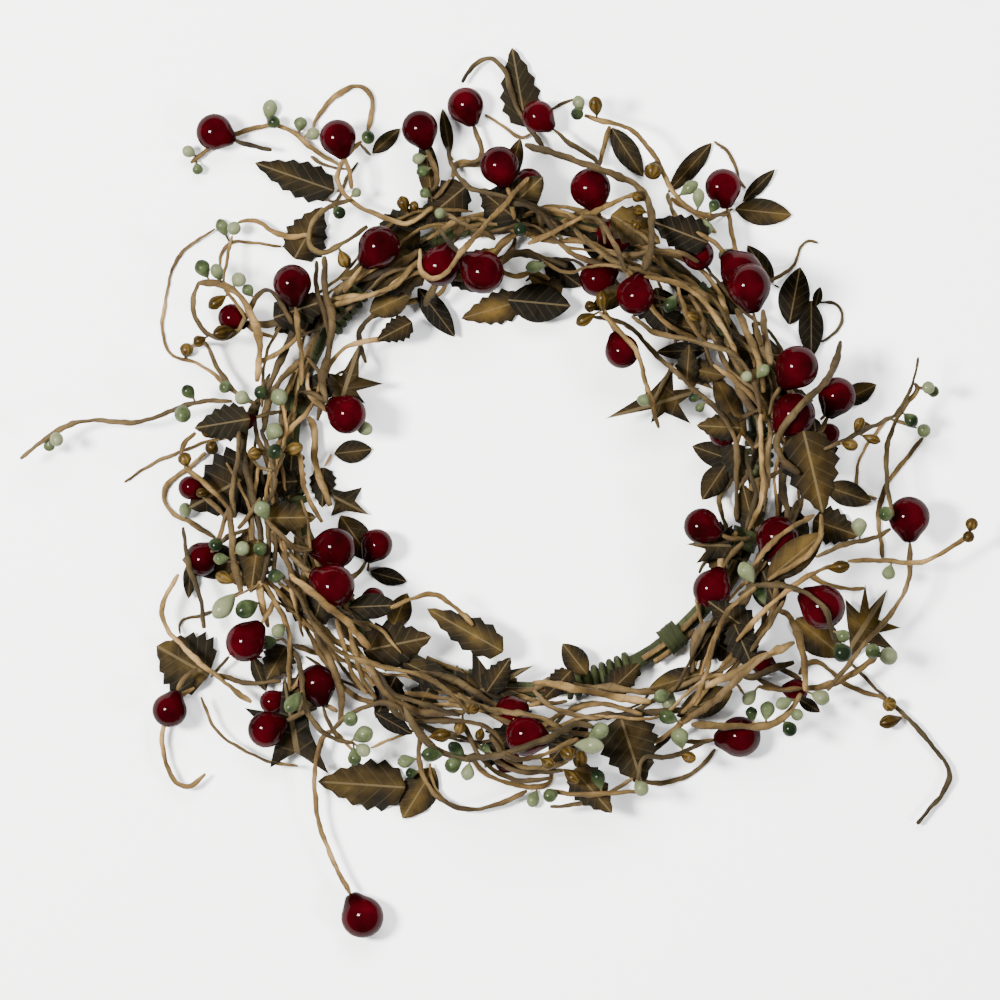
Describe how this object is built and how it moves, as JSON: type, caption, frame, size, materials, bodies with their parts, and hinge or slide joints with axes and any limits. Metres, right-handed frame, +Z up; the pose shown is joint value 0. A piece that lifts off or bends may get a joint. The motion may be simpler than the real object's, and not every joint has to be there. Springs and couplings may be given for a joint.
{
  "type": "candle ring",
  "caption": "Candle ring of paper-wrapped wire twigs with red hips, sage and gold pips and dried leaves, tied to a green taped wire hoop.",
  "frame": {"origin": "centre of the wire hoop, on the table plane that the windings' flats stand on", "axes": "+Z up from the table, +X to the right and +Y to the top of the view from above"},
  "size_m": [0.2324, 0.2169, 0.0348],
  "materials": {
    "steel": "satin",
    "green_tape": "matte",
    "paper_twig": "matte",
    "red_hip": "gloss",
    "sage_pip": "satin",
    "gold_pip": "satin",
    "dried_leaf": "matte"
  },
  "bodies": {
    "root": {"bottom_gold_pips": "gold_pip", "bottom_hips": "red_hip", "bottom_leaves": "dried_leaf", "bottom_sage_pips": "sage_pip", "bottom_twigs": "paper_twig", "bottom_wires": "steel", "left_gold_pips": "gold_pip", "left_hips": "red_hip", "left_leaves": "dried_leaf", "left_sage_pips": "sage_pip", "left_twigs": "paper_twig", "left_wires": "steel", "lower_left_hips": "red_hip", "lower_left_leaves": "dried_leaf", "lower_left_sage_pips": "sage_pip", "lower_left_twigs": "paper_twig", "lower_left_wires": "steel", "lower_right_gold_pips": "gold_pip", "lower_right_hips": "red_hip", "lower_right_leaves": "dried_leaf", "lower_right_sage_pips": "sage_pip", "lower_right_twigs": "paper_twig", "lower_right_wires": "steel", "right_gold_pips": "gold_pip", "right_hips": "red_hip", "right_leaves": "dried_leaf", "right_sage_pips": "sage_pip", "right_twigs": "paper_twig", "right_wires": "steel", "ring_tape": "green_tape", "ring_wire": "steel", "root_stems": "paper_twig", "tape_ties": "green_tape", "top_gold_pips": "gold_pip", "top_hips": "red_hip", "top_leaves": "dried_leaf", "top_sage_pips": "sage_pip", "top_twigs": "paper_twig", "top_wires": "steel", "upper_left_gold_pips": "gold_pip", "upper_left_hips": "red_hip", "upper_left_leaves": "dried_leaf", "upper_left_sage_pips": "sage_pip", "upper_left_twigs": "paper_twig", "upper_left_wires": "steel", "upper_right_gold_pips": "gold_pip", "upper_right_hips": "red_hip", "upper_right_leaves": "dried_leaf", "upper_right_sage_pips": "sage_pip", "upper_right_twigs": "paper_twig", "upper_right_wires": "steel", "winding_bottom": "green_tape", "winding_left": "green_tape", "winding_right": "green_tape", "winding_upper_left": "green_tape"}
  },
  "joints": []
}
